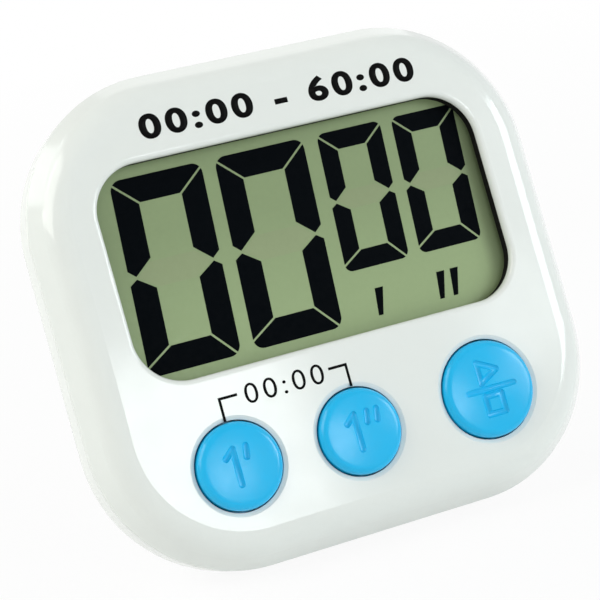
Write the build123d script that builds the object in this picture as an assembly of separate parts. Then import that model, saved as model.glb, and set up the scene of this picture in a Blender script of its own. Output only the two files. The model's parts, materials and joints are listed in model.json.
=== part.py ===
"""Digital kitchen timer: pebble-shaped case on a fold-out stand, three round buttons, one AAA cell.

Everything is modelled lying on its back first (x to the right, y up the face, z out of the face,
z = 0 on the back plane), and then leaned back on the open stand: +Z up, display towards -Y,
origin on the table under the middle of the timer. Millimetres throughout.
"""
from build123d import *
from math import acos, atan2, cos, degrees, hypot, radians, sin
import os

# Case
case_width = 76.0
case_height = 70.4
case_corner = 21.0
case_depth = 18.6
parting_z = 12.6
wall = 2.0
face_wall = 1.8
crown_radius = 900.0
front_land = 0.6
flank_draft = 32.0
edge_roll = 4.5
back_roll = 9.0
seam_chamfer = 0.25
soft_edge = 0.4
lip_depth = 1.4
lip_gap = 0.1

# Display window and the stack behind it, front to back
window_width = 58.0
window_height = 30.6
window_y = 7.55
window_corner = 6.9
window_round = 0.7
glass_margin = 1.1
glass_ledge = 2.2
pocket_gap = 0.2
seat_z = 17.0
gasket_thickness = 1.7
gasket_setback = 0.1
polariser_thickness = 0.2
glass_thickness = 0.45

# Buttons: centre x, centre y, radius of the cap
minute_key = (-19.3, -20.8, 6.1)
second_key = (-1.2, -20.8, 6.05)
start_stop_key = (19.35, -20.1, 6.95)
key_gap = 0.25
key_proud = 1.25
key_round = 1.1
key_crown = 60.0
key_flange = 1.2
key_flange_z = (14.4, 15.3)
key_travel = 0.8
hole_bevel_width = 0.65
hole_bevel_depth = 0.3

# Circuit board, rubber keypad and screws
board_front_z = 12.2
board_thickness = 1.2
board_inset = 3.4
board_top_y = 6.4
board_bottom_y = -27.6
keypad_web = 0.8
dome_top_z = key_flange_z[0]
dome_wall = 0.8
pill_radius = 2.0
pill_gap = 0.1
pill_thickness = dome_top_z - dome_wall - board_front_z - key_travel - pill_gap
board_bosses = [(-30.6, -13.6), (30.6, -13.6), (8.4, -22.0)]
case_bosses = [(-20.0, 28.9), (20.0, 28.9), (-12.0, -30.3), (12.0, -30.3)]
boss_joint_z = 9.0
screw_seat_z = 4.4

# Battery bay and its door
cell_radius = 5.25
cell_length = 44.5
bay_y = 14.5
bay_half_length = 24.8
bay_half_width = 5.7
cell_z = 7.15
bay_wall = 1.2
bay_top_z = 13.65
contact_thickness = 0.4
door_thickness = 1.4
door_half_length = 27.1
door_half_width = 6.9
door_gap = 0.2
door_chamfer = 0.25

# Fold-out stand
lean = 20.0
stand_width = 28.0
stand_tip_width = 25.0
stand_reach = 24.5
stand_z = (0.3, 2.7)
hinge_y = -21.6
hinge_z = 1.8
hinge_barrel = 1.35
hinge_pin = 1.0
hinge_clearance = 0.05
recess_half_width = 15.2
recess_depth = 3.4
recess_y = (-23.4, 5.0)
recess_wall = 1.2

# Magnets, hanging keyhole and buzzer
magnet_radius = 5.5
magnet_thickness = 3.0
magnet_x = 23.0
magnet_y = -8.0
keyhole_y = 25.4
keyhole_radius = 2.9
keyhole_slot = 1.5
keyhole_slot_y = 29.6
buzzer_y = -8.0
buzzer_radius = 10.0
buzzer_z = 5.1

keys = {"minute": minute_key, "second": second_key, "start_stop": start_stop_key}
standing = (Align.CENTER, Align.CENTER, Align.MIN)


def disc(radius, bottom, top, x=0.0, y=0.0):
    """Round plate between two levels."""
    return Pos(x, y, bottom) * Cylinder(radius, top - bottom, align=standing)


def slab(width, height, bottom, top, x=0.0, y=0.0, corner=0.0):
    """Flat plate between two levels, with rounded corners if a radius is given."""
    outline = RectangleRounded(width, height, corner) if corner else Rectangle(width, height)
    return Pos(x, y, bottom) * extrude(outline, top - bottom)


def block(x_range, y_range, z_range):
    """Straight-sided block between pairs of limits."""
    size = [high - low for low, high in (x_range, y_range, z_range)]
    middle = [(high + low) / 2 for low, high in (x_range, y_range, z_range)]
    return Pos(*middle) * Box(*size)


def bar(radius, x_from, x_to, y, z):
    """Round bar along x."""
    return Pos(x_from, y, z) * Rot(Y=90) * Cylinder(radius, x_to - x_from, align=standing)


def ball(radius, top):
    """Ball whose highest point is on the z axis, turned so that its seam is underneath."""
    return Pos(0, 0, top - radius) * Rot(Y=90) * Sphere(radius)


def case_outline(inset):
    """Rounded outline of the case, seen on its face."""
    return RectangleRounded(case_width - 2 * inset, case_height - 2 * inset, case_corner - inset)


def face_level(x, y):
    """Height of the crowned front face over a point."""
    return case_depth - (x * x + y * y) / (2 * crown_radius)


def front_form(inset, top):
    """Front half of the case as a solid: short land, drafted flank, crowned face, rolled edge."""
    outline = case_outline(inset)
    land = Pos(0, 0, parting_z) * extrude(outline, front_land)
    flank_height = top - parting_z - front_land + 0.5
    flank = Pos(0, 0, parting_z + front_land) * extrude(outline, flank_height, taper=flank_draft)
    form = (land + flank) & ball(crown_radius, top)
    face_edges = form.faces().sort_by(Axis.Z)[-1].edges()
    return fillet(face_edges, edge_roll - 0.8 * inset)


def back_form(inset):
    """Back half of the case as a solid with a wide soft edge round the back."""
    form = Pos(0, 0, inset) * extrude(case_outline(inset), parting_z - inset)
    back_edges = form.faces().sort_by(Axis.Z)[0].edges()
    return fillet(back_edges, back_roll - inset)


def window_prism(grow, bottom, top):
    """Prism of the window opening, grown or shrunk all round."""
    width = window_width + 2 * grow
    height = window_height + 2 * grow
    return slab(width, height, bottom, top, 0, window_y, window_corner + grow)


def glass_plate(bottom, top, below, grow=0.0):
    """Square-cornered plate over the window, reaching further down by the contact ledge."""
    half_width = window_width / 2 + glass_margin + grow
    upper = window_y + window_height / 2 + glass_margin + grow
    lower = window_y - window_height / 2 - glass_margin - below - grow
    return block((-half_width, half_width), (lower, upper), (bottom, top))


def face_plane(x, y):
    """Plane that touches the crowned face over a point."""
    return Plane((x, y, face_level(x, y)), z_dir=(x, y, crown_radius))


def make_front_cover():
    outer = front_form(0, case_depth)
    seam_edges = outer.faces().sort_by(Axis.Z)[0].edges()
    cover = chamfer(seam_edges, seam_chamfer) - front_form(wall, case_depth - face_wall)

    # Flat seat for the gasket, let into the back of the face
    pocket = glass_plate(parting_z, seat_z, glass_ledge, pocket_gap)
    cover = cover - pocket + glass_plate(seat_z, seat_z + 0.4, glass_ledge, pocket_gap)

    # Window and button holes with softened front edges
    cover = cover - window_prism(0, seat_z - 1, case_depth + 1)
    for x, y, radius in keys.values():
        hole = radius + key_gap
        cover = cover - disc(hole, parting_z, case_depth + 1, x, y)
        bevel = Cone(hole - 2 * hole_bevel_width, hole + 2 * hole_bevel_width, 4 * hole_bevel_depth)
        cover = cover - face_plane(x, y) * Pos(0, 0, -hole_bevel_depth) * bevel
    front_edges = cover.edges().filter_by(lambda e: e.center().Z > seat_z + 0.5)
    half_width = window_width / 2 + 0.1
    window_edges = front_edges.filter_by(
        lambda e: abs(e.center().X) < half_width and -8 < e.center().Y < 24
    )
    cover = fillet(window_edges, window_round)

    # Locating lip that drops inside the back cover
    lip = case_outline(wall / 2 + lip_gap) - case_outline(wall)
    cover = cover + Pos(0, 0, parting_z - lip_depth) * extrude(lip, lip_depth + 0.4)

    # Screw bosses for the board and for the back cover
    for x, y in board_bosses:
        cover = cover + disc(1.9, board_front_z, 16.9, x, y)
        cover = cover - disc(0.82, board_front_z - 1, 15.6, x, y)
    for x, y in case_bosses:
        cover = cover + disc(2.4, boss_joint_z, 16.7, x, y)
        cover = cover - disc(1.0, boss_joint_z - 1, 14.8, x, y)
    return cover


def make_back_cover():
    outer = back_form(0)
    seam_edges = outer.faces().sort_by(Axis.Z)[-1].edges()
    cover = chamfer(seam_edges, seam_chamfer) - back_form(wall)

    # Battery trough with a round ceiling, and the rebate that the door lies in
    trough_length = 2 * (bay_half_length + bay_wall)
    trough_width = 2 * (bay_half_width + bay_wall)
    cover = cover + slab(trough_length, trough_width, 1.0, bay_top_z, 0, bay_y)
    cover = cover - slab(2 * bay_half_length, 2 * bay_half_width, -1, cell_z, 0, bay_y)
    cover = cover - bar(bay_half_width, -bay_half_length, bay_half_length, bay_y, cell_z)
    rebate_length = 2 * (door_half_length + door_gap)
    rebate_width = 2 * (door_half_width + door_gap)
    cover = cover - slab(rebate_length, rebate_width, -1, door_thickness + 0.1, 0, bay_y, 1.4)
    for y in (bay_y - 3.6, bay_y + 3.6):
        cover = cover - block((-27.4, -24.2), (y - 1.5, y + 1.5), (1.0, 4.1))
    cover = cover - block((24.2, 27.3), (bay_y - 2.9, bay_y + 2.9), (1.0, 3.2))
    cover = cover - Pos(29.0, bay_y) * ball(5.0, 1.2)

    # Slots for the battery contacts' arms
    for x in (-bay_half_length + 0.2, bay_half_length - 0.2):
        cover = cover - block((x - 0.3, x + 0.3), (7.0, 12.0), (8.4, 11.2))

    # Stand recess with hinge sockets
    low, high = recess_y
    middle_y = (low + high) / 2
    frame_width = 2 * recess_half_width + 4.0
    frame_height = high - low + 2 * recess_wall
    cover = cover + slab(frame_width, frame_height, 1.0, recess_depth + recess_wall, 0, middle_y, 1.5)
    mouth = Pos(0, middle_y) * Rectangle(2 * recess_half_width, high - low)
    mouth = fillet(mouth.vertices().group_by(Axis.Y)[-1], 4.0)
    cover = cover - Pos(0, 0, -1) * extrude(mouth, recess_depth + 1)
    cover = cover - extrude(offset(mouth, soft_edge, kind=Kind.INTERSECTION), soft_edge, taper=45)
    socket = hinge_pin + hinge_clearance
    cover = cover - bar(socket, -recess_half_width - 1.6, recess_half_width + 1.6, hinge_y, hinge_z)

    # Buzzer seat and its ring of sound holes in the recess floor
    seat = disc(buzzer_radius + 0.6, recess_depth + 0.5, buzzer_z, 0, buzzer_y)
    cover = cover + (seat - disc(buzzer_radius - 1, 0, 10, 0, buzzer_y))
    for place in [Pos(0, buzzer_y)] + [Pos(0, buzzer_y) * p for p in PolarLocations(4.2, 6)]:
        cover = cover - place * Cylinder(0.9, 20)

    # Magnet cups
    for x in (-magnet_x, magnet_x):
        cover = cover + disc(magnet_radius + 1.2, 1.0, magnet_thickness + 1.2, x, magnet_y)
        cover = cover - disc(magnet_radius + 0.02, -1, magnet_thickness, x, magnet_y)

    # Screw posts, counterbored from behind
    for x, y in case_bosses:
        cover = cover + (disc(3.4, 0, boss_joint_z, x, y) & outer)
        cover = cover - disc(2.3, -1, screw_seat_z, x, y) - disc(1.2, 0, boss_joint_z + 1, x, y)

    # Hanging keyhole: the head goes in at the circle, and the timer drops onto the slot
    slot_height = keyhole_slot_y - keyhole_y
    cover = cover - disc(keyhole_radius, -1, 5, 0, keyhole_y)
    cover = cover - slab(2 * keyhole_slot, slot_height, -1, 5, 0, keyhole_y + slot_height / 2)
    cover = cover - disc(keyhole_slot, -1, 5, 0, keyhole_slot_y)

    # Rebate for the front cover's lip
    rebate = case_outline(wall / 2) - case_outline(wall + 0.2)
    cover = cover - Pos(0, 0, parting_z - lip_depth - lip_gap) * extrude(rebate, 5)
    return cover


def make_button(key):
    """Domed cap with a soft shoulder, a stop flange below the face and a hollow back."""
    x, y, radius = key
    bottom, flange_top = key_flange_z
    top = face_level(x, y) + key_proud
    cap = disc(radius, bottom, top + 1) & ball(key_crown, top)
    cap = fillet(cap.edges().group_by(Axis.Z)[-1], key_round)
    cap = cap + disc(radius + key_flange, bottom, flange_top)
    hollow = disc(radius - 1.3, bottom - 1, top - 2.0) - disc(2.6, bottom - 1, top)
    return Pos(x, y) * (cap - hollow)


def make_keypad():
    """One silicone mat: a thin web on the board and a hollow dome under each button."""
    web_top = board_front_z + keypad_web
    mat = slab(55.0, 14.4, board_front_z, web_top, 0.2, -20.2, 3.0)
    for x, y, radius in keys.values():
        at = Pos(x, y, web_top)
        mat = mat + at * Cone(4.6, 3.0, dome_top_z - web_top, align=standing)
    for x, y, radius in keys.values():
        at = Pos(x, y, board_front_z)
        mat = mat - at * Cone(3.9, 2.4, dome_top_z - dome_wall - board_front_z, align=standing)
    boss_x, boss_y = board_bosses[2]
    return mat - disc(2.2, board_front_z - 1, web_top + 2, boss_x, boss_y)


def make_pill(key):
    """Carbon contact disc under the dome's crown."""
    top = dome_top_z - dome_wall
    return disc(pill_radius, top - pill_thickness, top, key[0], key[1])


def make_board():
    outline = case_outline(board_inset)
    middle_y = (board_top_y + board_bottom_y) / 2
    outline = outline & Pos(0, middle_y) * Rectangle(case_width, board_top_y - board_bottom_y)
    board = Pos(0, 0, board_front_z - board_thickness) * extrude(outline, board_thickness)
    for x, y in board_bosses:
        board = board - disc(1.0, 0, 20, x, y)
    return board


def make_screws(places, head_radius, head_z, shank_radius, tip_z):
    """Set of pan-head screws driven from behind."""
    low, seat = head_z
    screws = []
    for x, y in places:
        head = disc(head_radius, low, seat)
        head = fillet(head.edges().group_by(Axis.Z)[0], 0.4)
        shank = disc(shank_radius, seat, tip_z)
        shank = chamfer(shank.edges().group_by(Axis.Z)[-1], 0.3)
        screws.append(Pos(x, y) * (head + shank))
    return Part() + screws


def make_cell():
    """AAA cell along x with its positive end on the right."""
    end_x = bay_half_length - contact_thickness - 0.4
    start_x = end_x - cell_length
    can = bar(cell_radius, start_x, end_x - 1.2, bay_y, cell_z)
    can = fillet(can.edges().filter_by(GeomType.CIRCLE), 0.5)
    return can + bar(1.9, end_x - 1.3, end_x, bay_y, cell_z)


def make_positive_contact():
    """Pressed plate with a dimple for the cell and an arm to the board."""
    right = bay_half_length
    left = right - contact_thickness
    plate = block((left, right), (bay_y - 3.8, bay_y + 3.8), (4.3, 10.8))
    arm = block((left, right), (3.6, bay_y), (8.6, 11.0))
    dimple = bar(2.4, left - 0.4, left + 0.1, bay_y, cell_z)
    return plate + arm + dimple


def make_negative_contact():
    """Plate with a bowed leaf that pushes on the cell's flat end, and an arm to the board."""
    left = -bay_half_length
    right = left + contact_thickness
    plate = block((left, right), (bay_y - 3.8, bay_y + 3.8), (4.3, 10.8))
    arm = block((left, right), (3.6, bay_y), (8.6, 11.0))
    cell_end = bay_half_length - contact_thickness - 0.4 - cell_length
    bow = ThreePointArc((right, cell_z + 2.7), (cell_end - 0.15, cell_z), (right, cell_z - 2.7))
    leaf = Pos(0, bay_y + 2.5) * (Plane.XZ * extrude(trace(bow, 0.3), 5.0))
    keep = block((left, cell_end), (0, 30), (0, 20))
    return plate + arm + (leaf & keep)


def make_battery_door():
    """Flush lid with two hooked tabs at the left end and a sprung latch tongue at the right."""
    lid = slab(2 * door_half_length, 2 * door_half_width, 0, door_thickness, 0, bay_y, 1.2)
    lid = chamfer(lid.faces().sort_by(Axis.Z)[0].edges(), door_chamfer)
    for y in (bay_y - 3.6, bay_y + 3.6):
        lid = lid + block((-27.0, -26.0), (y - 1.2, y + 1.2), (0.5, 3.2))
        lid = lid + block((-28.7, -26.0), (y - 1.2, y + 1.2), (2.2, 3.2))
    for y in (bay_y - 3.0, bay_y + 3.0):
        lid = lid - block((21.0, 28.0), (y - 0.4, y + 0.4), (-1, 3))
    lid = lid + block((25.7, 26.9), (bay_y - 2.4, bay_y + 2.4), (0.5, 2.6))
    for x in (-1.6, 0.0, 1.6):
        groove = bar(0.5, -3.0, 3.0, 0, 0)
        lid = lid - Pos(22.5 + x, bay_y, -0.15) * Rot(Z=90) * groove
    stiffener = slab(36.0, 1.0, door_thickness, door_thickness + 0.35, -2.0, bay_y)
    return lid + stiffener


def make_stand():
    """Folded flat in its recess: tapered leg on a barrel with two stub pins."""
    low, high = stand_z
    tip_y = hinge_y + stand_reach + (high - low) / 2
    half, tip_half = stand_width / 2, stand_tip_width / 2
    corners = [(-half, hinge_y), (half, hinge_y), (tip_half, tip_y), (-tip_half, tip_y)]
    outline = make_face(Polyline(*corners, close=True))
    outline = fillet(outline.vertices().group_by(Axis.Y)[-1], 4.5)
    leg = Pos(0, 0, low) * extrude(outline, high - low)
    tip_edges = leg.edges().filter_by(lambda e: e.center().Y > tip_y - 2.5)
    tip_edges = tip_edges.filter_by(lambda e: abs(e.center().Z - (low + high) / 2) > 0.5)
    leg = fillet(tip_edges, (high - low) / 2 - 0.01)
    leg = leg - disc(5.0, -1, 5, 0, tip_y + 2.6)
    leg = leg - slab(15.0, 12.0, high - 0.8, high + 1, 0, hinge_y + 10.5, 2.5)
    barrel = bar(hinge_barrel, -recess_half_width + 0.4, recess_half_width - 0.4, hinge_y, hinge_z)
    pins = bar(hinge_pin, -recess_half_width - 1.4, recess_half_width + 1.4, hinge_y, hinge_z)
    return leg + barrel + pins


def make_buzzer_leads():
    """Two short wires from the buzzer to the back of the board."""
    board_back = board_front_z - board_thickness
    leads = []
    starts = [(-8.4, buzzer_z + 0.2), (-4.0, buzzer_z + 0.4)]
    for start_x, start_z in starts:
        y = buzzer_y + start_x * 0.25
        points = [
            (start_x, y, start_z),
            (start_x, y, start_z + 1.6),
            (start_x + 1.6, y + 1.0, board_back - 1.8),
            (start_x + 1.6, y + 1.0, board_back),
        ]
        path = FilletPolyline(*points, radius=0.8)
        section = Plane(points[0], z_dir=(0, 0, 1)) * Circle(0.4)
        leads.append(sweep(section, path=path))
    return Part() + leads


def make_chip_parts():
    """Chip resistors and capacitors on the back of the board."""
    board_back = board_front_z - board_thickness
    places = [(12.0, 0.0), (16.0, 0.0), (20.0, -4.0), (20.0, -8.0), (-24.0, -20.0)]
    chips = [slab(2.0, 1.25, board_back - 0.6, board_back, x, y) for x, y in places]
    return Part() + chips


def make_controller():
    """Black resin cap over the clock chip."""
    board_back = board_front_z - board_thickness
    cap = disc(5.5, board_back - 1.4, board_back, -14.0, -14.0)
    return fillet(cap.edges().group_by(Axis.Z)[0], 1.3)


def stand_opening():
    """Angle that puts the foot on the table when the case leans back on its lower edge."""
    low, high = stand_z
    tip_round = (high - low) / 2
    tip_offset = hinge_z - (low + high) / 2
    edge_y = back_roll - case_height / 2
    floor_level = edge_y * cos(radians(lean)) + back_roll * sin(radians(lean)) - back_roll
    hinge_level = hinge_y * cos(radians(lean)) + hinge_z * sin(radians(lean))
    drop = floor_level + tip_round - hinge_level
    reach = hypot(stand_reach, tip_offset)
    return degrees(acos(drop / reach) - atan2(tip_offset, stand_reach)) - lean


stack_z = seat_z - gasket_thickness
front_glass_z = stack_z - polariser_thickness
rear_glass_z = front_glass_z - glass_thickness
reflector_z = rear_glass_z - glass_thickness
foam_z = reflector_z - polariser_thickness
board_back_z = board_front_z - board_thickness
ledge_y = window_y - window_height / 2 - glass_margin - glass_ledge / 2

gasket = glass_plate(stack_z, seat_z, glass_ledge) - window_prism(gasket_setback, stack_z - 1, seat_z + 1)
hinge = Pos(0, hinge_y, hinge_z)
opening = stand_opening()

nodes = {
    "front_cover": make_front_cover(),
    "back_cover": make_back_cover(),
    "display_gasket": gasket,
    "lcd_front_polariser": glass_plate(front_glass_z, stack_z, -0.1),
    "lcd_front_glass": glass_plate(rear_glass_z, front_glass_z, glass_ledge),
    "lcd_rear_glass": glass_plate(reflector_z, rear_glass_z, 0),
    "lcd_rear_reflector": glass_plate(foam_z, reflector_z, -0.1),
    "lcd_foam_pad": slab(46.0, 4.0, bay_top_z, foam_z, 0, bay_y),
    "zebra_strip": slab(50.0, 1.8, board_front_z, rear_glass_z, 0, ledge_y),
    "main_board": make_board(),
    "controller_cap": make_controller(),
    "clock_crystal": bar(1.0, 2.0, 8.0, -6.0, board_back_z - 1.0),
    "chip_parts": make_chip_parts(),
    "rubber_keypad": make_keypad(),
    "board_screws": make_screws(board_bosses, 1.7, (board_back_z - 1.0, board_back_z), 0.8, 15.2),
    "case_screws": make_screws(case_bosses, 2.0, (screw_seat_z - 1.4, screw_seat_z), 0.98, 14.2),
    "battery_cell": make_cell(),
    "positive_contact": make_positive_contact(),
    "negative_contact": make_negative_contact(),
    "battery_door": make_battery_door(),
    "left_magnet": disc(magnet_radius, 0, magnet_thickness, -magnet_x, magnet_y),
    "right_magnet": disc(magnet_radius, 0, magnet_thickness, magnet_x, magnet_y),
    "buzzer_plate": disc(buzzer_radius, buzzer_z, buzzer_z + 0.2, 0, buzzer_y),
    "buzzer_ceramic": disc(7.0, buzzer_z + 0.2, buzzer_z + 0.4, 0, buzzer_y),
    "buzzer_leads": make_buzzer_leads(),
    "stand": hinge * Rot(X=-opening) * hinge.inverse() * make_stand(),
}
for name, key in keys.items():
    nodes[name + "_button"] = make_button(key)
    nodes[name + "_pill"] = make_pill(key)

# Lean the timer back and set it on the table
upright = Rot(X=90 - lean)
boxes = [(upright * part).bounding_box() for part in nodes.values()]
front = min(box.min.Y for box in boxes)
rear = max(box.max.Y for box in boxes)
table = min(box.min.Z for box in boxes)
rest = Pos(0, -(front + rear) / 2, -table) * upright

os.makedirs("parts", exist_ok=True)
for name, part in nodes.items():
    export_step(rest * part, f"parts/{name}.step")
print("stand opens", round(opening, 2), "degrees; depth on the table", round(rear - front, 2))
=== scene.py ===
"""Finish of a digital kitchen timer: printed face, display digits, engraved buttons, screws, stage."""
import json
import math

import bmesh
import bpy
from bpy.props import FloatProperty, FloatVectorProperty, PointerProperty
from mathutils import Matrix, Vector

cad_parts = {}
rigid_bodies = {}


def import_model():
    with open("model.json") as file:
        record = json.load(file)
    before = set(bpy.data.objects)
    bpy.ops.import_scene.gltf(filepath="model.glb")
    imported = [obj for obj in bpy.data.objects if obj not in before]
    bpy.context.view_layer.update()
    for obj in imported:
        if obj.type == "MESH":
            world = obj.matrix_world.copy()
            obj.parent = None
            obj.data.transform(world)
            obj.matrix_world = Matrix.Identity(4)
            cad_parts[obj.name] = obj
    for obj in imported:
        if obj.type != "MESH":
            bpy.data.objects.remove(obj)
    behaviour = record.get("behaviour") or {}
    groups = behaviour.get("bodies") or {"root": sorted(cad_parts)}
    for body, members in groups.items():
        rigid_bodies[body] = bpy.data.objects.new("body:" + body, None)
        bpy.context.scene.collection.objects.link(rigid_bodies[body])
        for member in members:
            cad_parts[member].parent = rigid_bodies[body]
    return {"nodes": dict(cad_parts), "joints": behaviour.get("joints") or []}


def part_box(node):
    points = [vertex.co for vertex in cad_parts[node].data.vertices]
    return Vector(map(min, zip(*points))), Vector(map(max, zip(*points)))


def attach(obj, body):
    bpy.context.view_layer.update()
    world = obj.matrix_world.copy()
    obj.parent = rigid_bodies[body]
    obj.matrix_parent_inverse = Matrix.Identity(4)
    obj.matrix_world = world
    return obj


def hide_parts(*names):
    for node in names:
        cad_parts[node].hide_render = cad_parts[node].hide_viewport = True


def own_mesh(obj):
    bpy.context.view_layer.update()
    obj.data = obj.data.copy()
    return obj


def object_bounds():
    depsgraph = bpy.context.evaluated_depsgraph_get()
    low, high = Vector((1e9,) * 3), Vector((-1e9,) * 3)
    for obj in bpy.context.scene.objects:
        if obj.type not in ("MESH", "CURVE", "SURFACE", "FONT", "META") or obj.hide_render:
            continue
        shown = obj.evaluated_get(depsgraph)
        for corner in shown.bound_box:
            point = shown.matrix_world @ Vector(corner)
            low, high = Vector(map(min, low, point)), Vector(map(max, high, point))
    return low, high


bl_info = {
    "name": "Kitchen timer",
    "version": (1, 0, 0),
    "blender": (4, 5, 0),
    "location": "3D View > Sidebar > Timer",
    "description": "Finishes a digital kitchen timer and sets it on a plain stage",
    "category": "Object",
}

for leftover in list(bpy.data.objects):
    bpy.data.objects.remove(leftover)
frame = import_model()
cad_low, cad_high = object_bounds()

MM = 0.001

# Places on the face are x to the right, y up and z out of the display, from the middle of the back
display_middle = Vector((0, 7.6, 15.2)) * MM
display_face_z = 15.3 * MM
case_depth = 18.6 * MM
crown_radius = 900 * MM


def joint(name):
    """One of the part's joints."""
    return next(found for found in frame["joints"] if found["name"] == name)


def face_frame():
    """Turns a place on the face into the part's own frame."""
    out = -Vector(joint("minute_press")["axis"])
    right = Vector((1, 0, 0))
    turn = Matrix((right, out.cross(right), out)).transposed().to_4x4()
    low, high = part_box("lcd_front_polariser")
    return Matrix.Translation((low + high) / 2 - turn @ display_middle) @ turn


face = face_frame()


def face_level(x, y):
    """Height of the crowned face over a point."""
    return case_depth - (x * x + y * y) / (2 * crown_radius)


def box_on_face(node):
    """Lowest and highest corner of a CAD node, measured along the face."""
    back = face.inverted()
    points = [back @ vertex.co for vertex in frame["nodes"][node].data.vertices]
    low = Vector([min(point[axis] for point in points) for axis in range(3)])
    high = Vector([max(point[axis] for point in points) for axis in range(3)])
    return low, high


class TimerSizes(bpy.types.PropertyGroup):
    """Sizes of what is printed, shown and engraved."""

    print_height: FloatProperty(
        name="Print height", description="Height of the numerals over the display",
        default=3.65 * MM, unit="LENGTH")
    print_spacing: FloatProperty(
        name="Print spacing", description="Spread of the numerals over the display",
        default=1.25, subtype="FACTOR")
    label_height: FloatProperty(
        name="Label height", description="Height of the numerals between the bracket lines",
        default=2.8 * MM, unit="LENGTH")
    bracket_line: FloatProperty(
        name="Bracket line", description="Width of the lines that tie the two small buttons together",
        default=0.38 * MM, unit="LENGTH")
    digit_height: FloatProperty(
        name="Minute digit height", description="Height of the two large digits",
        default=27.4 * MM, unit="LENGTH")
    small_digit_height: FloatProperty(
        name="Second digit height", description="Height of the two small digits",
        default=20.15 * MM, unit="LENGTH")
    digit_slant: FloatProperty(
        name="Digit slant", description="Lean of the digits to the right",
        default=math.radians(3.7), subtype="ANGLE")
    segment_gap: FloatProperty(
        name="Segment gap", description="Clear line between neighbouring segments",
        default=0.3 * MM, unit="LENGTH")
    engraving_depth: FloatProperty(
        name="Engraving depth", description="Depth of the marks in the buttons",
        default=0.35 * MM, unit="LENGTH")
    engraving_width: FloatProperty(
        name="Engraving width", description="Width of the strokes of the marks",
        default=1.05 * MM, unit="LENGTH")


class TimerColours(bpy.types.PropertyGroup):
    """Colours of the finishes that show."""

    case: FloatVectorProperty(
        name="Case", description="White plastic of the covers, door and stand",
        default=(0.82, 0.85, 0.81), size=3, min=0, max=1, subtype="COLOR")
    button: FloatVectorProperty(
        name="Button", description="Blue plastic of the three buttons",
        default=(0.006, 0.49, 0.87), size=3, min=0, max=1, subtype="COLOR")
    # The display's painted shade and painted frame shadow darken this colour away from the bottom and
    # beside the right frame
    display: FloatVectorProperty(
        name="Display", description="Grey-green ground of the display where it is lightest",
        default=(0.315, 0.414, 0.203), size=3, min=0, max=1, subtype="COLOR")
    resting: FloatVectorProperty(
        name="Resting segment", description="Segments that are off, a little warmer than the ground",
        default=(0.325, 0.40, 0.207), size=3, min=0, max=1, subtype="COLOR")
    segment: FloatVectorProperty(
        name="Segment", description="Blue-black of the segments that are on",
        default=(0.0006, 0.0015, 0.0025), size=3, min=0, max=1, subtype="COLOR")
    ink: FloatVectorProperty(
        name="Ink", description="Black of the print on the face",
        default=(0.003, 0.003, 0.003), size=3, min=0, max=1, subtype="COLOR")


class TimerStage(bpy.types.PropertyGroup):
    """Camera and light."""

    lens: FloatProperty(
        name="Lens", description="Focal length on a 36 mm wide picture",
        default=120.0, subtype="DISTANCE_CAMERA")
    fill: FloatProperty(
        name="Fill light", description="Strength of the even light from all round", default=0.36, min=0)
    power: FloatProperty(
        name="Lamp power", description="Power of a lamp whose share is 1",
        default=2.0, min=0, subtype="POWER")


def sizes():
    return bpy.context.scene.timer_sizes


def colours():
    return bpy.context.scene.timer_colours


# Materials: each has a Principled surface, and texture nodes that read Object coordinates

def surface(name, colour, roughness, **sockets):
    """Material with one Principled surface. Returns the material, its tree and that surface."""
    material = bpy.data.materials.get(name) or bpy.data.materials.new(name)
    material.use_nodes = True
    tree = material.node_tree
    shader = tree.nodes["Principled BSDF"]
    shader.inputs["Base Color"].default_value = (*colour, 1)
    shader.inputs["Roughness"].default_value = roughness
    for socket, value in sockets.items():
        shader.inputs[socket.replace("_", " ")].default_value = value
    return material, tree, shader


def noise(tree, scale):
    """Noise over the piece, with a scale in cells per metre."""
    coordinates = tree.nodes.new("ShaderNodeTexCoord")
    texture = tree.nodes.new("ShaderNodeTexNoise")
    texture.inputs["Scale"].default_value = scale
    tree.links.new(coordinates.outputs["Object"], texture.inputs["Vector"])
    return texture.outputs["Fac"]


def tint(tree, shader, factor, first, second):
    """Lets the colour drift between two shades."""
    mix = tree.nodes.new("ShaderNodeMix")
    mix.data_type = "RGBA"
    mix.inputs["A"].default_value = (*first, 1)
    mix.inputs["B"].default_value = (*second, 1)
    tree.links.new(factor, mix.inputs["Factor"])
    tree.links.new(mix.outputs["Result"], shader.inputs["Base Color"])


noise_low = 0.3
noise_high = 0.7


def polish(tree, shader, factor, smooth, dull):
    """Lets the roughness drift between two values."""
    spread = tree.nodes.new("ShaderNodeMapRange")
    spread.inputs["From Min"].default_value = noise_low
    spread.inputs["From Max"].default_value = noise_high
    spread.inputs["To Min"].default_value = smooth
    spread.inputs["To Max"].default_value = dull
    tree.links.new(factor, spread.inputs["Value"])
    tree.links.new(spread.outputs["Result"], shader.inputs["Roughness"])


def relief(tree, shader, factor, strength, distance):
    """Fine bumps."""
    bump = tree.nodes.new("ShaderNodeBump")
    bump.inputs["Strength"].default_value = strength
    bump.inputs["Distance"].default_value = distance
    tree.links.new(factor, bump.inputs["Height"])
    tree.links.new(bump.outputs["Normal"], shader.inputs["Normal"])


def shade(colour, amount):
    """The same colour, lighter or darker."""
    return [min(1.0, channel * amount) for channel in colour]


bare_nodes = 2
cloud_share = 0.15
smoothest = 0.8
dullest = 1.25
bump_height = 0.2


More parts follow.
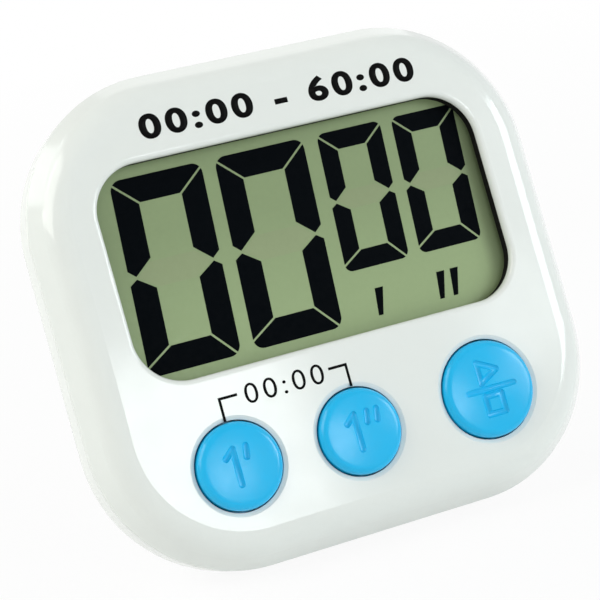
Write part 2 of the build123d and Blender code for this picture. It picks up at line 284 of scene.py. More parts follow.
def textured(name, colour, roughness, cell, drift=0.06, bumps=0.1, **sockets):
    """Surface whose colour and polish drift slowly, with relief in cells of the given size."""
    material, tree, shader = surface(name, colour, roughness, **sockets)
    if len(tree.nodes) > bare_nodes:
        return material
    slow = noise(tree, cloud_share / cell)
    fine = noise(tree, 1 / cell)
    tint(tree, shader, slow, shade(colour, 1 + drift), shade(colour, 1 - drift))
    polish(tree, shader, slow, roughness * smoothest, roughness * dullest)
    relief(tree, shader, fine, bumps, cell * bump_height)
    return material


def white_plastic():
    return textured("white_plastic", colours().case, roughness=0.12, cell=0.6 * MM,
                    drift=0.015, bumps=0.03)


def blue_plastic():
    return textured("blue_plastic", colours().button, roughness=0.2, cell=0.5 * MM,
                    drift=0.05, bumps=0.05, Specular_IOR_Level=0.35)


def ramp(tree, axis, low, high, stops, interpolation="LINEAR"):
    """Colour that changes along an axis between two places. A stop is a share of the way and a colour."""
    coordinates = tree.nodes.new("ShaderNodeTexCoord")
    split = tree.nodes.new("ShaderNodeSeparateXYZ")
    along = tree.nodes.new("ShaderNodeMapRange")
    along.inputs["From Min"].default_value = low
    along.inputs["From Max"].default_value = high
    bands = tree.nodes.new("ShaderNodeValToRGB")
    bands.color_ramp.interpolation = interpolation
    while len(bands.color_ramp.elements) < len(stops):
        bands.color_ramp.elements.new(1.0)
    for element, (place, colour) in zip(bands.color_ramp.elements, stops):
        element.position = place
        element.color = (*colour, 1)
    tree.links.new(coordinates.outputs["Object"], split.inputs["Vector"])
    tree.links.new(split.outputs[axis], along.inputs["Value"])
    tree.links.new(along.outputs["Result"], bands.inputs["Fac"])
    return bands.outputs["Color"]


# Shares of the display's height and width, and how light the film is painted there: painted shade that
# makes it darker towards the top, and a painted shadow of the frame beside its right edge
display_painted_rise_shade = [(0.0, 1.0), (0.36, 0.87), (0.67, 0.75), (1.0, 0.78)]
display_painted_frame_shadow = [(0.93, 1.0), (0.957, 0.72), (0.975, 0.58), (0.985, 0.35)]


def display_film_painted_shade(name, colour):
    """Satin film of the display, with painted shade that leaves it lightest at the bottom and a painted
    shadow of the frame that darkens it beside the frame on the right.
    """
    material = textured(name, colour, roughness=0.35, cell=0.12 * MM,
                        drift=0.03, bumps=0.03, Specular_IOR_Level=0.3)
    tree = material.node_tree
    if tree.nodes.get("Color Ramp"):
        return material
    low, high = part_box("lcd_front_polariser")
    base = tree.nodes["Principled BSDF"].inputs["Base Color"]
    # Multiplies the colour by the painted shade up the display and by the painted shadow of the frame on
    # the right
    for axis, index, shades in (("Z", 2, display_painted_rise_shade), ("X", 0, display_painted_frame_shadow)):
        stops = [(place, (share, share, share)) for place, share in shades]
        dimmed = tree.nodes.new("ShaderNodeMix")
        dimmed.data_type = "RGBA"
        dimmed.blend_type = "MULTIPLY"
        dimmed.inputs["Factor"].default_value = 1.0
        tree.links.new(base.links[0].from_socket, dimmed.inputs["A"])
        tree.links.new(ramp(tree, axis, low[index], high[index], stops), dimmed.inputs["B"])
        tree.links.new(dimmed.outputs["Result"], base)
    return material


def display_ground():
    return display_film_painted_shade("display_face", colours().display)


def display_segment():
    return textured("display_segment", colours().segment, roughness=0.45, cell=0.12 * MM,
                    drift=0.1, bumps=0.03, Specular_IOR_Level=0.02)


def display_resting():
    # The resting segments carry the same painted shade and painted frame shadow as the ground
    return display_film_painted_shade("display_resting", colours().resting)


def printing_ink():
    return textured("printing_ink", colours().ink, roughness=0.5, cell=0.1 * MM,
                    drift=0.2, bumps=0.1, Specular_IOR_Level=0.04)


inner_finishes = {
    "black_foam": dict(colour=(0.007, 0.007, 0.006), roughness=0.85, cell=0.25 * MM, bumps=0.5,
                       Specular_IOR_Level=0.1),
    "display_glass": dict(colour=(0.35, 0.42, 0.40), roughness=0.06, cell=2 * MM, drift=0.02, bumps=0.01),
    "display_reflector": dict(colour=(0.55, 0.56, 0.54), roughness=0.35, cell=0.2 * MM, Metallic=0.8),
    "zebra_rubber": dict(colour=(0.32, 0.12, 0.13), roughness=0.6, cell=0.3 * MM),
    "board": dict(colour=(0.03, 0.16, 0.06), roughness=0.35, cell=0.8 * MM, drift=0.25),
    "black_resin": dict(colour=(0.01, 0.01, 0.01), roughness=0.25, cell=0.5 * MM),
    "tinned_can": dict(colour=(0.72, 0.72, 0.70), roughness=0.25, cell=0.3 * MM, Metallic=1.0),
    "ceramic": dict(colour=(0.62, 0.58, 0.50), roughness=0.5, cell=0.3 * MM),
    "grey_silicone": dict(colour=(0.36, 0.37, 0.38), roughness=0.55, cell=0.3 * MM),
    "carbon_rubber": dict(colour=(0.015, 0.015, 0.016), roughness=0.7, cell=0.2 * MM),
    "screw_steel": dict(colour=(0.62, 0.62, 0.61), roughness=0.28, cell=0.2 * MM, Metallic=1.0),
    "nickel_strip": dict(colour=(0.66, 0.64, 0.60), roughness=0.22, cell=0.4 * MM, Metallic=1.0),
    "ferrite": dict(colour=(0.030, 0.029, 0.028), roughness=0.5, cell=0.15 * MM, drift=0.3, bumps=0.3),
    "buzzer_brass": dict(colour=(0.72, 0.52, 0.22), roughness=0.3, cell=0.4 * MM, Metallic=1.0),
    "lead_sleeve": dict(colour=(0.45, 0.03, 0.03), roughness=0.45, cell=0.3 * MM),
}


bare_metal = (0.6, 0.6, 0.6)
sleeve_blue = (0.05, 0.10, 0.12)
sleeve_silver = (0.55, 0.56, 0.55)
sleeve_speckle = 900


def cell_sleeve():
    """Plain printed sleeve with a lighter band at the positive end and bare metal ends."""
    material, tree, shader = surface("cell_can", sleeve_blue, roughness=0.3)
    if len(tree.nodes) > bare_nodes:
        return material
    low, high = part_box("battery_cell")
    stops = [(0.0, bare_metal), (0.012, sleeve_blue), (0.72, sleeve_silver), (0.955, bare_metal)]
    bands = ramp(tree, "X", low.x, high.x, stops, "CONSTANT")
    tree.links.new(bands, shader.inputs["Base Color"])
    polish(tree, shader, noise(tree, sleeve_speckle), smooth=0.22, dull=0.36)
    return material


def slot_material(name):
    """Finish of a CAD material slot."""
    visible = {"white_plastic": white_plastic, "blue_plastic": blue_plastic,
               "display_face": display_ground, "cell_can": cell_sleeve}
    if name in visible:
        return visible[name]()
    return textured(name + "_finish", **inner_finishes[name])


# Mesh helpers

def piece(name, mesh, body, material, crease=None):
    """Finished object from a bmesh or mesh in the part's frame, smooth where it bends less than crease."""
    if isinstance(mesh, bmesh.types.BMesh):
        made = bpy.data.meshes.new(name)
        mesh.to_mesh(made)
        mesh.free()
        mesh = made
    if crease is not None:
        mesh.polygons.foreach_set("use_smooth", [True] * len(mesh.polygons))
        mesh.set_sharp_from_angle(angle=math.radians(crease))
    mesh.materials.clear()
    mesh.materials.append(material)
    made = bpy.data.objects.new(name, mesh)
    bpy.context.scene.collection.objects.link(made)
    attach(made, body)
    return made


def add_to(target, source):
    """Moves the geometry of one bmesh into another."""
    mesh = bpy.data.meshes.new("part")
    source.to_mesh(mesh)
    source.free()
    target.from_mesh(mesh)
    bpy.data.meshes.remove(mesh)


def plate(bm, thickness):
    """Gives a flat outline its thickness, upwards."""
    grown = bmesh.ops.extrude_face_region(bm, geom=bm.faces[:])["geom"]
    lifted = [item for item in grown if isinstance(item, bmesh.types.BMVert)]
    bmesh.ops.translate(bm, verts=lifted, vec=(0, 0, thickness))
    bmesh.ops.recalc_face_normals(bm, faces=bm.faces[:])


def rectangle(width, height):
    """Flat rectangle, centred."""
    bm = bmesh.new()
    bmesh.ops.create_grid(bm, x_segments=1, y_segments=1, size=0.5)
    bmesh.ops.scale(bm, vec=(width, height, 1), verts=bm.verts[:])
    return bm


def rounded_plate(width, height, corner):
    """Flat rectangle with round corners, centred."""
    bm = rectangle(width, height)
    bmesh.ops.bevel(bm, geom=bm.verts[:], offset=corner, segments=8, profile=0.5,
                    affect="VERTICES", material=-1)
    return bm


def trim(bm, point, outwards, setback=0.0):
    """Cuts away what lies on the outer side of a line."""
    outwards = Vector((*outwards, 0)).normalized()
    place = Vector((*point, 0)) - outwards * setback
    everything = bm.verts[:] + bm.edges[:] + bm.faces[:]
    bmesh.ops.bisect_plane(bm, geom=everything, plane_co=place, plane_no=outwards, clear_outer=True)


def spun(profile, steps):
    """Solid of revolution about z. Its profile of radius and height starts and ends on the axis."""
    bm = bmesh.new()
    verts = [bm.verts.new((radius, 0, height)) for radius, height in profile]
    edges = [bm.edges.new(pair) for pair in zip(verts, verts[1:])]
    bmesh.ops.spin(bm, geom=verts + edges, cent=(0, 0, 0), axis=(0, 0, 1), angle=math.tau,
                   steps=steps, use_merge=True)
    bmesh.ops.remove_doubles(bm, verts=bm.verts[:], dist=1e-7)
    bmesh.ops.recalc_face_normals(bm, faces=bm.faces[:])
    return bm


def arc(middle, radius, start, end, steps):
    """Points of a circular arc in the profile plane, angles in degrees."""
    turns = [math.radians(start + (end - start) * step / steps) for step in range(steps + 1)]
    return [(middle[0] + radius * math.cos(turn), middle[1] + radius * math.sin(turn)) for turn in turns]


def cut(body, cutter):
    """Mesh of one bmesh with the other taken out of it."""
    objects = []
    for bm in (body, cutter):
        mesh = bpy.data.meshes.new("blank")
        bm.to_mesh(mesh)
        bm.free()
        objects.append(bpy.data.objects.new("blank", mesh))
        bpy.context.scene.collection.objects.link(objects[-1])
    modifier = objects[0].modifiers.new("cut", "BOOLEAN")
    modifier.object = objects[1]
    modifier.operation = "DIFFERENCE"
    modifier.solver = "EXACT"
    modifier.use_self = True
    graph = bpy.context.evaluated_depsgraph_get()
    result = bpy.data.meshes.new_from_object(objects[0].evaluated_get(graph))
    for blank in objects:
        bpy.data.objects.remove(blank)
    return result


def numerals(words, height, weight, spacing, breadth):
    """Flat numerals of a height, spaced out and broadened, centred."""
    curve = bpy.data.curves.new("numerals", "FONT")
    curve.body = words
    curve.offset = weight
    curve.space_character = spacing
    curve.resolution_u = 8
    text = bpy.data.objects.new("numerals", curve)
    bpy.context.scene.collection.objects.link(text)
    graph = bpy.context.evaluated_depsgraph_get()
    mesh = bpy.data.meshes.new_from_object(text.evaluated_get(graph))
    bpy.data.objects.remove(text)
    bm = bmesh.new()
    bm.from_mesh(mesh)
    bpy.data.meshes.remove(mesh)
    bmesh.ops.remove_doubles(bm, verts=bm.verts[:], dist=1e-5)
    low = [min(vert.co[axis] for vert in bm.verts) for axis in range(2)]
    high = [max(vert.co[axis] for vert in bm.verts) for axis in range(2)]
    rise = height / (high[1] - low[1])
    bmesh.ops.translate(bm, vec=(-(low[0] + high[0]) / 2, -(low[1] + high[1]) / 2, 0), verts=bm.verts[:])
    bmesh.ops.scale(bm, vec=(rise * breadth, rise, 1), verts=bm.verts[:])
    return bm


ink_depth = 0.03 * MM
ink_proud = 0.012 * MM


def printed(name, bm):
    """Lays flat print on the crowned face as a thin film of ink."""
    plate(bm, ink_depth)
    for vert in bm.verts:
        vert.co.z += face_level(vert.co.x, vert.co.y) + ink_proud - ink_depth
    bmesh.ops.transform(bm, matrix=face, verts=bm.verts[:])
    return piece(name, bm, "case", printing_ink())


def capsule(radius, start, end, depth):
    """Round-ended stroke between two points, sunk to a depth below z = 0."""
    bm = bmesh.new()
    bmesh.ops.create_uvsphere(bm, u_segments=24, v_segments=12, radius=radius)
    run = Vector(end) - Vector(start)
    for vert in bm.verts:
        if vert.co.x > 1e-9:
            vert.co.x += run.length
    turn = Matrix.Rotation(math.atan2(run.y, run.x), 4, "Z")
    place = Matrix.Translation((*start, radius - depth))
    bmesh.ops.transform(bm, matrix=place @ turn, verts=bm.verts[:])
    return bm


# Operators: one for each piece or group of like pieces

class TIMER_OT_case(bpy.types.Operator):
    """Gives the covers, the battery door, the stand and every inner part its finish"""

    bl_idname = "timer.case"
    bl_label = "Case and inner parts"

    def execute(self, context):
        for node in frame["nodes"].values():
            slot = node.material_slots[0].material.name
            node.material_slots[0].material = slot_material(slot)
        return {"FINISHED"}


class TIMER_OT_face_print(bpy.types.Operator):
    """Prints the counting range over the display and the bracket between the two small buttons"""

    bl_idname = "timer.face_print"
    bl_label = "Face print"

    range_middle = Vector((0.97, 27.26, 0)) * MM
    range_weight = 0.036
    range_breadth = 1.33
    label_middle = Vector((-10.05, -11.65, 0)) * MM
    label_weight = -0.004
    label_spacing = 1.25
    label_breadth = 1.1
    bracket_ends = [(-19.64 * MM, -17.2 * MM), (-0.68 * MM, -3.14 * MM)]
    bracket_level = -11.35 * MM
    bracket_leg_top = -11.6 * MM
    bracket_foot = -14.3 * MM

    def execute(self, context):
        size = sizes()
        line = numerals("00:00 - 60:00", size.print_height, self.range_weight, size.print_spacing,
                        self.range_breadth)
        bmesh.ops.translate(line, vec=self.range_middle, verts=line.verts[:])
        printed("range_print", line)

        label = numerals("00:00", size.label_height, self.label_weight, self.label_spacing,
                         self.label_breadth)
        bmesh.ops.translate(label, vec=self.label_middle, verts=label.verts[:])
        for corner, inner in self.bracket_ends:
            arm = ((corner, self.bracket_level), (inner, self.bracket_level))
            leg = ((corner, self.bracket_leg_top), (corner, self.bracket_foot))
            for start, end in (arm, leg):
                add_to(label, self.line(Vector(start), Vector(end), size.bracket_line))
        printed("bracket_print", label)
        return {"FINISHED"}

    def line(self, start, end, width):
        """Square-ended line that reaches half its width past both points."""
        run = end - start
        bm = rectangle(abs(run.x) + width, abs(run.y) + width)
        bmesh.ops.translate(bm, vec=(*((start + end) / 2), 0), verts=bm.verts[:])
        return bm


class TIMER_OT_display(bpy.types.Operator):
    """Makes the four seven-segment digits and the unit marks of the display"""

    bl_idname = "timer.display"
    bl_label = "Display digits"

    film = 0.02 * MM
    corner_share = 0.115
    corner_mitres = {(1, -1): 42, (1, 1): 40, (-1, -1): 33, (-1, 1): 47}
    waist_mitres = {1: 40, -1: 34}
    large = dict(width=13.57 * MM, bar=3.63 * MM, tip=1.1 * MM)
    large_places = [(-19.67 * MM, 7.6 * MM), (-4.06 * MM, 7.6 * MM)]
    small = dict(width=10.02 * MM, bar=2.72 * MM, tip=0.82 * MM)
    small_places = [(10.17 * MM, 11.2 * MM), (22.0 * MM, 11.2 * MM)]
    stroke_size = (1.3 * MM, 3.9 * MM)
    stroke_pitch = 2.2 * MM
    stroke_taper = 0.55
    stroke_lean = 0.2
    unit_marks = [((8.26 * MM, -3.95 * MM), 1), ((19.23 * MM, -3.95 * MM), 2)]

    def blank(self, width, height):
        """Outline of a digit, from which each segment is cut."""
        return rounded_plate(width, height, self.corner_share * width)

    def segments(self, width, height, bar, tip):
        """The seven segments of a digit, flat and centred. The last is the middle one."""
        gap = sizes().segment_gap / 2
        side = width / 2 - bar
        level = height / 2 - bar
        tip_x = width / 2 - tip
        made = []
        for up in (1, -1):
            waist = math.tan(math.radians(self.waist_mitres[up]))
            bm = self.blank(width, height)
            trim(bm, (0, up * level), (0, -up))
            for across in (1, -1):
                corner = math.tan(math.radians(self.corner_mitres[up, across]))
                trim(bm, (across * side, up * level), (across * corner, -up), gap)
            made.append(bm)
            for across in (1, -1):
                corner = math.tan(math.radians(self.corner_mitres[up, across]))
                bm = self.blank(width, height)
                trim(bm, (across * side, 0), (-across, 0))
                trim(bm, (across * side, up * level), (-across * corner, up), gap)
                trim(bm, (across * tip_x, 0), (across * waist, -up), gap)
                trim(bm, (across * tip_x, 0), (-across * waist, -up), gap)
                made.append(bm)
        bm = self.blank(width, height)
        for up in (1, -1):
            waist = math.tan(math.radians(self.waist_mitres[up]))
            trim(bm, (0, up * bar / 2), (0, up))
            for across in (1, -1):
                trim(bm, (across * tip_x, 0), (across * waist, up), gap)
        made.append(bm)
        return made

    def digit(self, lit, resting, middle, height, width, bar, tip):
        """Adds one 0 to the lit segments and its middle segment to the resting ones."""
        lean = Matrix.Identity(4)
        lean[0][1] = math.tan(sizes().digit_slant)
        place = face @ Matrix.Translation((*middle, display_face_z)) @ lean
        shapes = self.segments(width, height, bar, tip)
        for shape in shapes:
            plate(shape, self.film)
            bmesh.ops.transform(shape, matrix=place, verts=shape.verts[:])
            add_to(resting if shape is shapes[-1] else lit, shape)

    def unit_mark(self, marks, middle, strokes):
        """Minute or second mark: one or two slanted strokes."""
        for stroke in range(strokes):
            bm = rectangle(*self.stroke_size)
            for vert in bm.verts:
                vert.co.x *= 1.0 if vert.co.y > 0 else self.stroke_taper
                vert.co.x += self.stroke_lean * vert.co.y
            plate(bm, self.film)
            shift = (stroke - (strokes - 1) / 2) * self.stroke_pitch
            place = face @ Matrix.Translation((middle[0] + shift, middle[1], display_face_z))
            bmesh.ops.transform(bm, matrix=place, verts=bm.verts[:])
            add_to(marks, bm)

    def execute(self, context):
        size = sizes()
        lit = bmesh.new()
        resting = bmesh.new()
        for middle in self.large_places:
            self.digit(lit, resting, middle, size.digit_height, **self.large)
        for middle in self.small_places:
            self.digit(lit, resting, middle, size.small_digit_height, **self.small)
        for middle, strokes in self.unit_marks:
            self.unit_mark(lit, middle, strokes)
        piece("display_digits", lit, "case", display_segment())
        piece("display_resting_segments", resting, "case", display_resting())
        return {"FINISHED"}


class TIMER_OT_buttons(bpy.types.Operator):
    """Models the three button caps with their engraved marks"""

    bl_idname = "timer.buttons"
    bl_label = "Buttons"

    flange = 1.2 * MM
    flange_thickness = 0.9 * MM
    shoulder = 1.1 * MM
    dome = 60 * MM
    crown_thickness = 2.0 * MM
    wall = 1.3 * MM
    post_radius = 2.6 * MM
    shoulder_steps = 10
    dome_steps = 16
    turn_steps = 128
    crease = 35
    # Strokes of the marks, from point to point in millimetres
    one = [((-0.75, -2.5), (-0.75, 2.5)), ((-0.75, 2.5), (-2.0, 1.4))]
    prime = [((1.2, 2.5), (0.95, 1.0))]
    second_prime = [((2.75, 2.5), (2.5, 1.0))]
    start = [((-1.3, 1.0), (-1.3, 4.0)), ((-1.3, 4.0), (1.5, 2.5)), ((1.5, 2.5), (-1.3, 1.0))]
    rule = [((-3.7, 0.0), (3.7, 0.0))]
    stop = [((-1.3, -1.0), (1.3, -1.0)), ((1.3, -1.0), (1.3, -3.6)), ((1.3, -3.6), (-1.3, -3.6)),
            ((-1.3, -3.6), (-1.3, -1.0))]

    def cap(self, radius, low, top):
        """Domed cap with a soft shoulder, a stop flange and a hollow back with a central post."""
        dome_middle = top - self.dome
        inner = radius - self.shoulder
        reach = self.dome - self.shoulder
        bend = math.degrees(math.acos(inner / reach))
        corner = (inner, dome_middle + math.sqrt(reach ** 2 - inner ** 2))
        ceiling = top - self.crown_thickness
        bore = radius - self.wall
        rim = radius + self.flange
        flange_top = low + self.flange_thickness
        profile = [(0, low), (self.post_radius, low), (self.post_radius, ceiling), (bore, ceiling),
                   (bore, low), (rim, low), (rim, flange_top), (radius, flange_top)]
        profile += arc(corner, self.shoulder, 0, bend, self.shoulder_steps)
        profile += arc((0, dome_middle), self.dome, bend, 90, self.dome_steps)[1:]
        return spun(profile, self.turn_steps)

    def mark(self, strokes, top):
        """Cutter for a set of strokes under the crown of a cap."""
        size = sizes()
        cutter = bmesh.new()
        for start, end in strokes:
            start, end = Vector(start) * MM, Vector(end) * MM
            reach = ((start + end) / 2).length
            stroke = capsule(size.engraving_width / 2, start, end, size.engraving_depth)
            crown = top - reach ** 2 / (2 * self.dome)
            bmesh.ops.translate(stroke, vec=(0, 0, crown), verts=stroke.verts[:])
            add_to(cutter, stroke)
        return cutter

    def execute(self, context):
        marks = {
            "minute": self.one + self.prime,
            "second": self.one + self.prime + self.second_prime,
            "start_stop": self.start + self.rule + self.stop,
        }
        for key, strokes in marks.items():
            node = key + "_button"
            low, high = box_on_face(node)
            middle = (low + high) / 2
            radius = (high.x - low.x) / 2 - self.flange
            cap = self.cap(radius, low.z, high.z)
            mesh = cut(cap, self.mark(strokes, high.z))
            mesh.transform(face @ Matrix.Translation((middle.x, middle.y, 0)))
            made = piece(node + "_cap", mesh, key + "_key", blue_plastic(), self.crease)
            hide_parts(node)
        return {"FINISHED"}


class TIMER_OT_keypad(bpy.types.Operator):
    """Models the silicone mat under the buttons and its three domes, unpressed; the real domes flatten
    when a button is pressed
    """

    bl_idname = "timer.keypad"
    bl_label = "Keypad"

    mat_size = (55.0 * MM, 14.4 * MM)
    mat_corner = 3.0 * MM
    web = 0.8 * MM
    dome_wall = 0.8 * MM
    foot_radius = 4.6 * MM
    foot_inside = 3.9 * MM
    top_radius = 3.0 * MM
    top_inside = 2.4 * MM
    turn_steps = 64
    crease = 30
    screw_hole = (8.4 * MM, -22.0 * MM, 2.2 * MM)

    def dome(self, low, high):
        """Hollow cone that is open below."""
        ceiling = high - self.dome_wall
        profile = [(0, ceiling), (self.top_inside, ceiling), (self.foot_inside, low),
                   (self.foot_radius, low), (self.foot_radius, low + self.web), (self.top_radius, high),
                   (0, high)]
        return spun(profile, self.turn_steps)

    def mat(self, low, middle, holes):
        """Thin web with a round hole at each place."""
        bm = rounded_plate(*self.mat_size, self.mat_corner)
        plate(bm, self.web)
        bmesh.ops.translate(bm, vec=(middle.x, middle.y, low), verts=bm.verts[:])
        cutter = bmesh.new()
        for x, y, radius in holes:
            drill = spun([(0, low - self.web), (radius, low - self.web), (radius, low + 2 * self.web),
                          (0, low + 2 * self.web)], self.turn_steps)
            bmesh.ops.translate(drill, vec=(x, y, 0), verts=drill.verts[:])
            add_to(cutter, drill)
        return cut(bm, cutter)

    def execute(self, context):
        low, high = box_on_face("rubber_keypad")
        rubber = slot_material("grey_silicone")
        holes = [self.screw_hole]
        for key in ("minute", "second", "start_stop"):
            button_low, button_high = box_on_face(key + "_button")
            middle = (button_low + button_high) / 2
            holes.append((middle.x, middle.y, self.foot_radius))
            bm = self.dome(low.z, high.z)
            place = face @ Matrix.Translation((middle.x, middle.y, 0))
            bmesh.ops.transform(bm, matrix=place, verts=bm.verts[:])
            made = piece(key + "_dome", bm, "case", rubber, self.crease)
            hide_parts("rubber_keypad")
            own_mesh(made)
        mesh = self.mat(low.z, (low + high) / 2, holes)
        mesh.transform(face)
        made = piece("keypad_mat", mesh, "case", rubber, self.crease)
        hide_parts("rubber_keypad")
        return {"FINISHED"}


class TIMER_OT_screws(bpy.types.Operator):
    """Models the four case screws with cross-recessed heads"""

    bl_idname = "timer.screws"
    bl_label = "Case screws"

    places = [(-20.0 * MM, 28.9 * MM), (20.0 * MM, 28.9 * MM),
              (-12.0 * MM, -30.3 * MM), (12.0 * MM, -30.3 * MM)]
    head_radius = 2.0 * MM
    head_height = 1.4 * MM
    head_round = 0.5 * MM
    shank_radius = 0.98 * MM
    point = 0.3 * MM
    recess = (2.3 * MM, 0.55 * MM, 1.6 * MM)
    recess_taper = 0.45
    turn_between = 35
    round_steps = 6
    turn_steps = 48
    crease = 35

    def screw(self, low, high):
        """One pan-head screw with its head down."""
        seat = low + self.head_height
        edge = self.head_round
        profile = [(0, low)]
        profile += arc((self.head_radius - edge, low + edge), edge, -90, 0, self.round_steps)
        profile += [(self.head_radius, seat), (self.shank_radius, seat),
                    (self.shank_radius, high - self.point), (self.shank_radius - self.point, high),
                    (0, high)]
        cutter = bmesh.new()
        for turn in (0, 90):
            wing = bmesh.new()
            bmesh.ops.create_cube(wing, size=1.0)
            bmesh.ops.scale(wing, vec=self.recess, verts=wing.verts[:])
            for vert in wing.verts:
                if vert.co.z > 0:
                    vert.co.x *= self.recess_taper
            bmesh.ops.rotate(wing, cent=(0, 0, 0), matrix=Matrix.Rotation(math.radians(turn), 3, "Z"),
                             verts=wing.verts[:])
            bmesh.ops.translate(wing, vec=(0, 0, low), verts=wing.verts[:])
            add_to(cutter, wing)
        return cut(spun(profile, self.turn_steps), cutter)

    def execute(self, context):
        low, high = box_on_face("case_screws")
        one = self.screw(low.z, high.z)
        screws = bmesh.new()
        for turn, (x, y) in enumerate(self.places):
            copy = one.copy()
            spin = Matrix.Rotation(math.radians(self.turn_between * turn), 4, "Z")
            copy.transform(face @ Matrix.Translation((x, y, 0)) @ spin)
            screws.from_mesh(copy)
            bpy.data.meshes.remove(copy)
        steel = slot_material("screw_steel")
        made = piece("case_screw_set", screws, "case", steel, self.crease)
        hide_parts("case_screws")
        return {"FINISHED"}


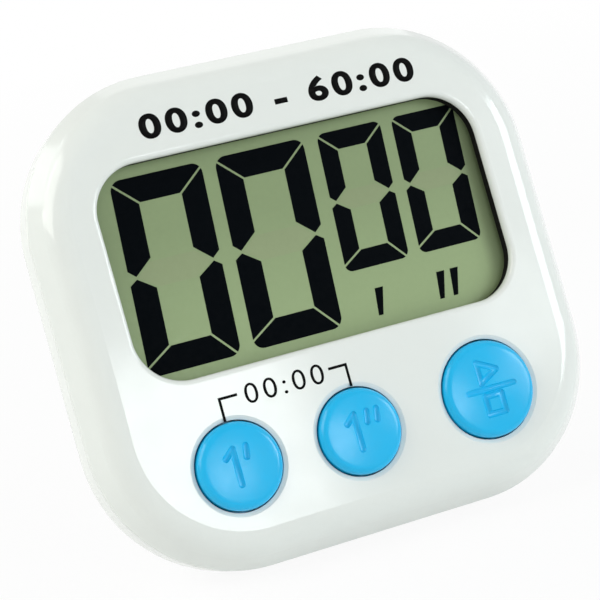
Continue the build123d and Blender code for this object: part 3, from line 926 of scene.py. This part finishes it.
class TIMER_OT_stage(bpy.types.Operator):
    """Sets up the floor, the soft light and the camera"""

    bl_idname = "timer.stage"
    bl_label = "Stage"

    floor_radius = 3.0
    paper_light = (0.90, 0.90, 0.90)
    paper_dark = (0.885, 0.885, 0.885)
    paper_cloud = 3
    near_white = 0.92
    fade_start = 0.15
    fade_end = 0.5
    camera_place = Vector((-0.10046, -0.25989, 0.11079))
    camera_forward = Vector((0.3466, 0.8980, -0.2708))
    camera_up = Vector((0.2379, 0.1951, 0.9515))
    # Each lamp's name, place, size, share of the power and colour
    lamps = [
        ("key", (0.77, -0.59, 0.33), (0.50, 0.35), 2.0, (0.90, 0.965, 1.0)),
        ("left", (-0.82, -0.04, 0.67), (0.60, 0.75), 2.5, (1.0, 1.0, 0.95)),
        ("front", (0.166, -0.76, 0.252), (0.165, 0.175), 0.30, (0.92, 0.97, 1.0)),
        ("side", (0.435, -0.69, 0.275), (0.07, 0.09), 0.03, (0.90, 0.97, 1.0)),
        ("back", (0.35, 0.85, 0.6), (0.60, 0.60), 0.3, (1.0, 1.0, 1.0)),
        ("corner", (-0.66, 0.42, 0.62), (0.50, 0.50), 0.95, (0.96, 1.0, 1.0)),
    ]

    def execute(self, context):
        self.floor()
        self.light()
        self.camera(context)
        return {"FINISHED"}

    def floor(self):
        bm = bmesh.new()
        bmesh.ops.create_circle(bm, cap_ends=True, segments=96, radius=self.floor_radius)
        bmesh.ops.translate(bm, vec=(0, 0, cad_low.z), verts=bm.verts[:])
        mesh = bpy.data.meshes.new("floor")
        bm.to_mesh(mesh)
        bm.free()
        mesh.materials.append(self.floor_paper())
        floor = bpy.data.objects.new("floor", mesh)
        bpy.context.scene.collection.objects.link(floor)

    def floor_paper(self):
        """White paper that keeps the object's shadow near it and is plain white further off."""
        material, tree, shader = surface("floor_paper", self.paper_light, roughness=0.9)
        tint(tree, shader, noise(tree, self.paper_cloud), self.paper_light, self.paper_dark)
        coordinates = tree.nodes.new("ShaderNodeTexCoord")
        distance = tree.nodes.new("ShaderNodeVectorMath")
        distance.operation = "LENGTH"
        fade = tree.nodes.new("ShaderNodeMapRange")
        fade.inputs["From Min"].default_value = self.fade_start
        fade.inputs["From Max"].default_value = self.fade_end
        fade.inputs["To Min"].default_value = self.near_white
        fade.inputs["To Max"].default_value = 1.0
        weight = tree.nodes.new("ShaderNodeMath")
        weight.operation = "MULTIPLY"
        glow = tree.nodes.new("ShaderNodeEmission")
        glow.inputs["Strength"].default_value = 1.0
        blend = tree.nodes.new("ShaderNodeMixShader")
        tree.links.new(coordinates.outputs["Object"], distance.inputs[0])
        tree.links.new(distance.outputs["Value"], fade.inputs["Value"])
        tree.links.new(self.background_rays(tree), weight.inputs[0])
        tree.links.new(fade.outputs["Result"], weight.inputs[1])
        tree.links.new(weight.outputs[0], blend.inputs["Fac"])
        tree.links.new(shader.outputs["BSDF"], blend.inputs[1])
        tree.links.new(glow.outputs["Emission"], blend.inputs[2])
        tree.links.new(blend.outputs["Shader"], tree.nodes["Material Output"].inputs["Surface"])
        return material

    def background_rays(self, tree):
        """1 for rays that show the background: from the camera, in gloss or through glass."""
        path = tree.nodes.new("ShaderNodeLightPath")
        total = path.outputs["Is Camera Ray"]
        for ray in ("Is Glossy Ray", "Is Transmission Ray"):
            either = tree.nodes.new("ShaderNodeMath")
            either.operation = "MAXIMUM"
            tree.links.new(total, either.inputs[0])
            tree.links.new(path.outputs[ray], either.inputs[1])
            total = either.outputs[0]
        return total

    def light(self):
        stage = bpy.context.scene.timer_stage
        world = bpy.data.worlds.new("studio")
        bpy.context.scene.world = world
        world.use_nodes = True
        tree = world.node_tree
        background = tree.nodes["Background"]
        background.inputs["Color"].default_value = (1, 1, 1, 1)
        strength = tree.nodes.new("ShaderNodeMapRange")
        strength.inputs["To Min"].default_value = stage.fill
        strength.inputs["To Max"].default_value = 1.0
        tree.links.new(self.background_rays(tree), strength.inputs["Value"])
        tree.links.new(strength.outputs["Result"], background.inputs["Strength"])
        middle = (cad_low + cad_high) / 2
        for name, place, size, share, colour in self.lamps:
            lamp = bpy.data.lights.new(name, "AREA")
            lamp.shape = "RECTANGLE"
            lamp.size, lamp.size_y = size
            lamp.energy = stage.power * share
            lamp.color = colour
            holder = bpy.data.objects.new(name, lamp)
            holder.location = place
            holder.rotation_euler = (middle - Vector(place)).to_track_quat("-Z", "Y").to_euler()
            bpy.context.scene.collection.objects.link(holder)

    def camera(self, context):
        lens = bpy.data.cameras.new("camera")
        lens.lens = context.scene.timer_stage.lens
        lens.sensor_width = 36.0
        lens.sensor_fit = "HORIZONTAL"
        lens.clip_start = 0.01
        camera = bpy.data.objects.new("camera", lens)
        back = -self.camera_forward.normalized()
        right = self.camera_up.cross(back).normalized()
        turn = Matrix((right, back.cross(right), back)).transposed()
        camera.matrix_world = Matrix.Translation(self.camera_place) @ turn.to_4x4()
        context.scene.collection.objects.link(camera)
        context.scene.camera = camera
        context.scene.view_settings.view_transform = "Standard"


operators = (TIMER_OT_case, TIMER_OT_face_print, TIMER_OT_display, TIMER_OT_buttons, TIMER_OT_keypad,
             TIMER_OT_screws, TIMER_OT_stage)


class TIMER_PT_panel(bpy.types.Panel):
    """Lists the steps that finish the timer"""

    bl_idname = "TIMER_PT_panel"
    bl_label = "Kitchen timer"
    bl_space_type = "VIEW_3D"
    bl_region_type = "UI"
    bl_category = "Timer"

    def draw(self, context):
        for group in (context.scene.timer_sizes, context.scene.timer_colours, context.scene.timer_stage):
            box = self.layout.box()
            for name in group.__annotations__:
                box.prop(group, name)
        for step in operators:
            self.layout.operator(step.bl_idname)


classes = (TimerSizes, TimerColours, TimerStage, *operators, TIMER_PT_panel)


def register():
    for cls in classes:
        bpy.utils.register_class(cls)
    bpy.types.Scene.timer_sizes = PointerProperty(type=TimerSizes)
    bpy.types.Scene.timer_colours = PointerProperty(type=TimerColours)
    bpy.types.Scene.timer_stage = PointerProperty(type=TimerStage)


def unregister():
    for name in ("timer_stage", "timer_colours", "timer_sizes"):
        delattr(bpy.types.Scene, name)
    for cls in reversed(classes):
        bpy.utils.unregister_class(cls)


def main():
    register()
    bpy.ops.timer.case()
    bpy.ops.timer.face_print()
    bpy.ops.timer.display()
    bpy.ops.timer.buttons()
    bpy.ops.timer.keypad()
    bpy.ops.timer.screws()
    bpy.ops.timer.stage()


if __name__ == "__main__":
    main()
